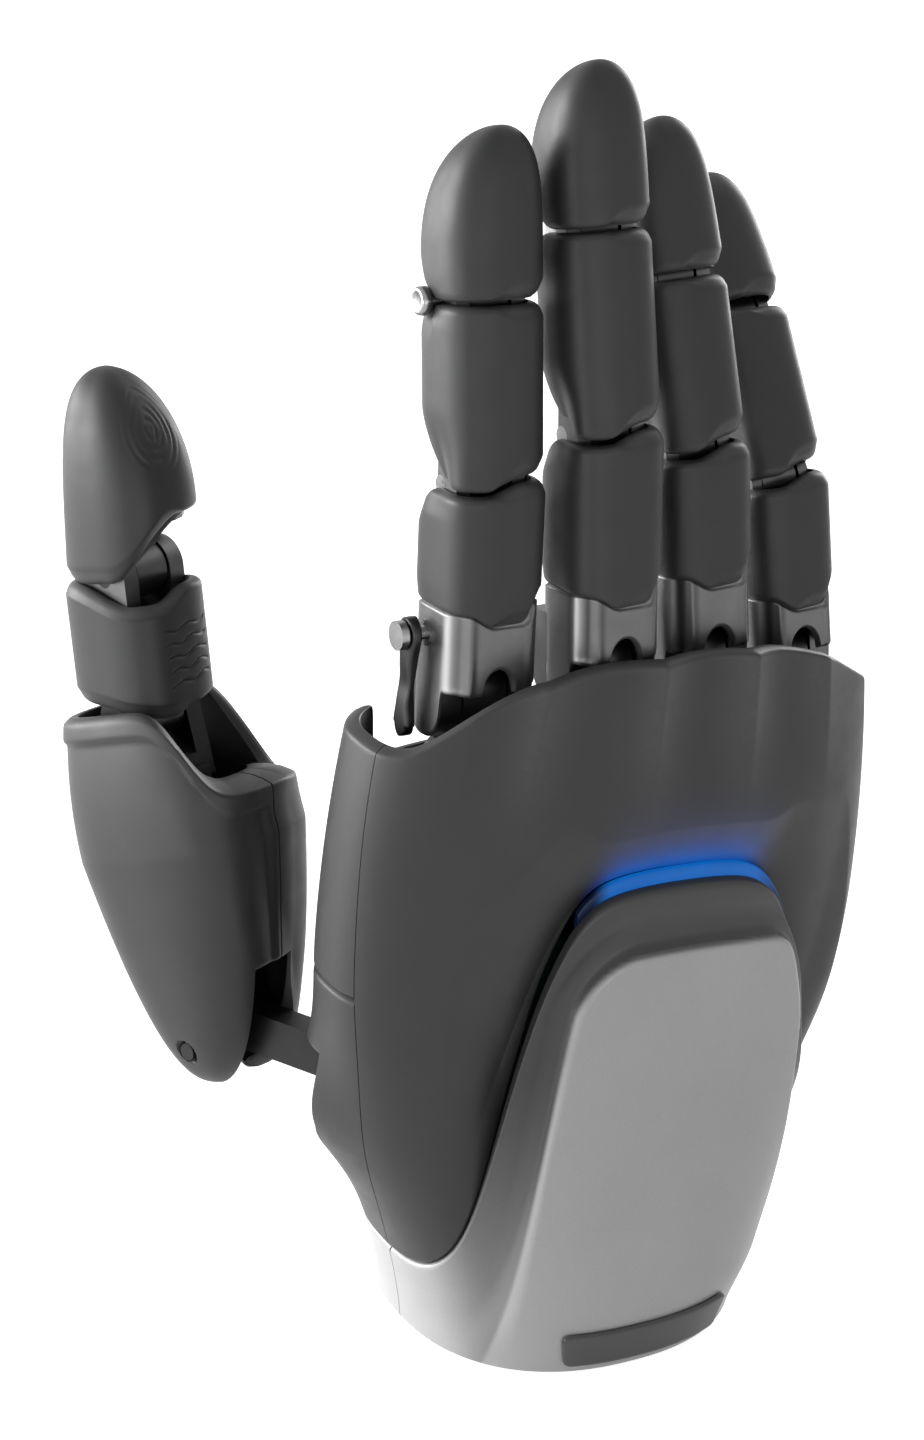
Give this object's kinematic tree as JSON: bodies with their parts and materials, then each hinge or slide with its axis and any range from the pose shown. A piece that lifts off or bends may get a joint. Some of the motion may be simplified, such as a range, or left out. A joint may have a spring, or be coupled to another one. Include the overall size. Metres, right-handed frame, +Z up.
{
  "type": "dexterous robot hand",
  "caption": "Dexterous humanoid robot hand: jointed fingers and an opposable thumb on a hollow palm, bolted on at the wrist flange.",
  "frame": {"origin": "centre of the wrist mounting face", "axes": "+Z up along the fingers, the back of the hand faces -Y, the thumb side is -X (a right hand)"},
  "size_m": [0.1148, 0.0931, 0.2011],
  "materials": {
    "dark_plastic": "soft matte dark grey moulded plastic",
    "silver_plastic": "satin light silver painted plastic",
    "frame_metal": "satin machined aluminium",
    "pin_steel": "brushed steel",
    "light_strip": "lit blue light guide",
    "plate_grey": "grey, bare of text",
    "board_green": "circuit board",
    "motor_grey": "motor cans"
  },
  "bodies": {
    "palm": {"palm_back_shell": "dark_plastic", "palm_front_shell": "dark_plastic", "palm_heel_cover": "dark_plastic", "thumb_housing": "dark_plastic", "back_cover": "silver_plastic", "wrist_sleeve": "silver_plastic", "light_strip": "light_strip", "name_plate": "plate_grey", "palm_frame": "frame_metal", "control_board": "board_green", "actuators": "motor_grey", "wrist_flange": "frame_metal", "palm_pins": "pin_steel"},
    "index_knuckle": {"index_knuckle": "frame_metal"},
    "index_prox": {"index_prox_frame": "frame_metal", "index_prox_cover": "dark_plastic", "index_base_pins": "pin_steel"},
    "index_mid": {"index_mid_frame": "frame_metal", "index_mid_cover": "dark_plastic", "index_end_pin": "pin_steel"},
    "index_tip": {"index_tip_frame": "frame_metal", "index_tip_cover": "dark_plastic"},
    "index_link": {"index_link": "pin_steel"},
    "middle_knuckle": {"middle_knuckle": "frame_metal"},
    "middle_prox": {"middle_prox_frame": "frame_metal", "middle_prox_cover": "dark_plastic", "middle_base_pins": "pin_steel"},
    "middle_mid": {"middle_mid_frame": "frame_metal", "middle_mid_cover": "dark_plastic", "middle_end_pin": "pin_steel"},
    "middle_tip": {"middle_tip_frame": "frame_metal", "middle_tip_cover": "dark_plastic"},
    "ring_knuckle": {"ring_knuckle": "frame_metal"},
    "ring_prox": {"ring_prox_frame": "frame_metal", "ring_prox_cover": "dark_plastic", "ring_base_pins": "pin_steel"},
    "ring_mid": {"ring_mid_frame": "frame_metal", "ring_mid_cover": "dark_plastic", "ring_end_pin": "pin_steel"},
    "ring_tip": {"ring_tip_frame": "frame_metal", "ring_tip_cover": "dark_plastic"},
    "little_knuckle": {"little_knuckle": "frame_metal"},
    "little_prox": {"little_prox_frame": "frame_metal", "little_prox_cover": "dark_plastic", "little_base_pins": "pin_steel"},
    "little_mid": {"little_mid_frame": "frame_metal", "little_mid_cover": "dark_plastic", "little_end_pin": "pin_steel"},
    "little_tip": {"little_tip_frame": "frame_metal", "little_tip_cover": "dark_plastic"},
    "thumb_base": {"thumb_bracket": "frame_metal"},
    "thumb_pod": {"thumb_frame": "frame_metal", "thumb_outer_shell": "dark_plastic", "thumb_inner_shell": "dark_plastic", "thumb_fasteners": "pin_steel"},
    "thumb_prox": {"thumb_prox_frame": "frame_metal", "thumb_prox_cover": "dark_plastic", "thumb_end_pin": "pin_steel"},
    "thumb_tip": {"thumb_tip_frame": "frame_metal", "thumb_tip_cover": "dark_plastic"}
  },
  "joints": [
    {"name": "index_spread", "type": "hinge", "parent": "palm", "child": "index_knuckle", "pos_m": [-0.0256, 0.0005, 0.0968], "axis": [0, -1, 0], "range_deg": [0, 8]},
    {"name": "index_bend", "type": "hinge", "parent": "index_knuckle", "child": "index_prox", "pos_m": [-0.0256, 0.0005, 0.1088], "axis": [-1, 0, 0], "range_deg": [-10, 80]},
    {"name": "index_mid_bend", "type": "hinge", "parent": "index_prox", "child": "index_mid", "pos_m": [-0.0256, 0.00331, 0.14088], "axis": [-1, 0, 0], "range_deg": [-1, 80]},
    {"name": "index_end_bend", "type": "hinge", "parent": "index_mid", "child": "index_tip", "pos_m": [-0.0256, 0.00796, 0.16727], "axis": [-1, 0, 0], "range_deg": [-0.84, 67.2]},
    {"name": "index_link_pivot", "type": "hinge", "parent": "index_prox", "child": "index_link", "pos_m": [-0.0356, 0.00042, 0.11935], "axis": [-1, 0, 0], "range_deg": [-30, 5]},
    {"name": "middle_spread", "type": "hinge", "parent": "palm", "child": "middle_knuckle", "pos_m": [-0.00592, -0.0032, 0.10051], "axis": [0, 1, 0], "range_deg": [-0.2, 1.5]},
    {"name": "middle_bend", "type": "hinge", "parent": "middle_knuckle", "child": "middle_prox", "pos_m": [-0.0063, -0.0032, 0.1125], "axis": [-0.9995, 0, -0.0314], "range_deg": [-11.5, 78.5]},
    {"name": "middle_mid_bend", "type": "hinge", "parent": "middle_prox", "child": "middle_mid", "pos_m": [-0.00741, 0.00081, 0.14766], "axis": [-0.9995, 0, -0.0314], "range_deg": [-1, 78]},
    {"name": "middle_end_bend", "type": "hinge", "parent": "middle_mid", "child": "middle_tip", "pos_m": [-0.00831, 0.00776, 0.17662], "axis": [-0.9995, 0, -0.0314], "range_deg": [-0.84, 65.52]},
    {"name": "ring_spread", "type": "hinge", "parent": "palm", "child": "ring_knuckle", "pos_m": [0.01375, 0.0003, 0.09852], "axis": [0, 1, 0], "range_deg": [-1, 2.5]},
    {"name": "ring_bend", "type": "hinge", "parent": "ring_knuckle", "child": "ring_prox", "pos_m": [0.013, 0.0003, 0.1105], "axis": [-0.998, 0, -0.0628], "range_deg": [-13, 77]},
    {"name": "ring_mid_bend", "type": "hinge", "parent": "ring_prox", "child": "ring_mid", "pos_m": [0.01101, 0.00475, 0.14213], "axis": [-0.998, 0, -0.0628], "range_deg": [-5, 74]},
    {"name": "ring_end_bend", "type": "hinge", "parent": "ring_mid", "child": "ring_tip", "pos_m": [0.00949, 0.01309, 0.16628], "axis": [-0.998, 0, -0.0628], "range_deg": [-4.2, 62.16]},
    {"name": "little_spread", "type": "hinge", "parent": "palm", "child": "little_knuckle", "pos_m": [0.03314, 0.0044, 0.09403], "axis": [0, 1, 0], "range_deg": [-2, 5]},
    {"name": "little_bend", "type": "hinge", "parent": "little_knuckle", "child": "little_prox", "pos_m": [0.0323, 0.0044, 0.106], "axis": [-0.9976, 0, -0.0698], "range_deg": [-15.5, 74.5]},
    {"name": "little_mid_bend", "type": "hinge", "parent": "little_prox", "child": "little_mid", "pos_m": [0.03038, 0.0095, 0.13346], "axis": [-0.9976, 0, -0.0698], "range_deg": [-11, 65]},
    {"name": "little_end_bend", "type": "hinge", "parent": "little_mid", "child": "little_tip", "pos_m": [0.02882, 0.0227, 0.15581], "axis": [-0.9976, 0, -0.0698], "range_deg": [-9.24, 54.6]},
    {"name": "thumb_roll", "type": "hinge", "parent": "palm", "child": "thumb_base", "pos_m": [-0.0342, 0.0064, 0.044], "axis": [0, 0, 1], "range_deg": [-45, 20]},
    {"name": "thumb_swing", "type": "hinge", "parent": "thumb_base", "child": "thumb_pod", "pos_m": [-0.04796, 0.02986, 0.044], "axis": [-0.9397, -0.342, 0], "range_deg": [-10, 15]},
    {"name": "thumb_base_bend", "type": "hinge", "parent": "thumb_pod", "child": "thumb_prox", "pos_m": [-0.05465, 0.04822, 0.09002], "axis": [-0.9397, -0.342, 0], "range_deg": [-34, 0]},
    {"name": "thumb_end_bend", "type": "hinge", "parent": "thumb_prox", "child": "thumb_tip", "pos_m": [-0.0564, 0.05304, 0.11224], "axis": [-0.9397, -0.342, 0], "range_deg": [-34.5, 0]}
  ],
  "couplings": [
    {"joint": "index_end_bend", "follows": "index_mid_bend", "ratio": 0.75},
    {"joint": "index_link_pivot", "follows": "index_bend", "ratio": -0.35},
    {"joint": "middle_end_bend", "follows": "middle_mid_bend", "ratio": 0.75},
    {"joint": "ring_end_bend", "follows": "ring_mid_bend", "ratio": 0.75},
    {"joint": "little_spread", "follows": "ring_spread", "ratio": 2},
    {"joint": "little_end_bend", "follows": "little_mid_bend", "ratio": 0.75},
    {"joint": "thumb_end_bend", "follows": "thumb_base_bend", "ratio": 0.9}
  ]
}
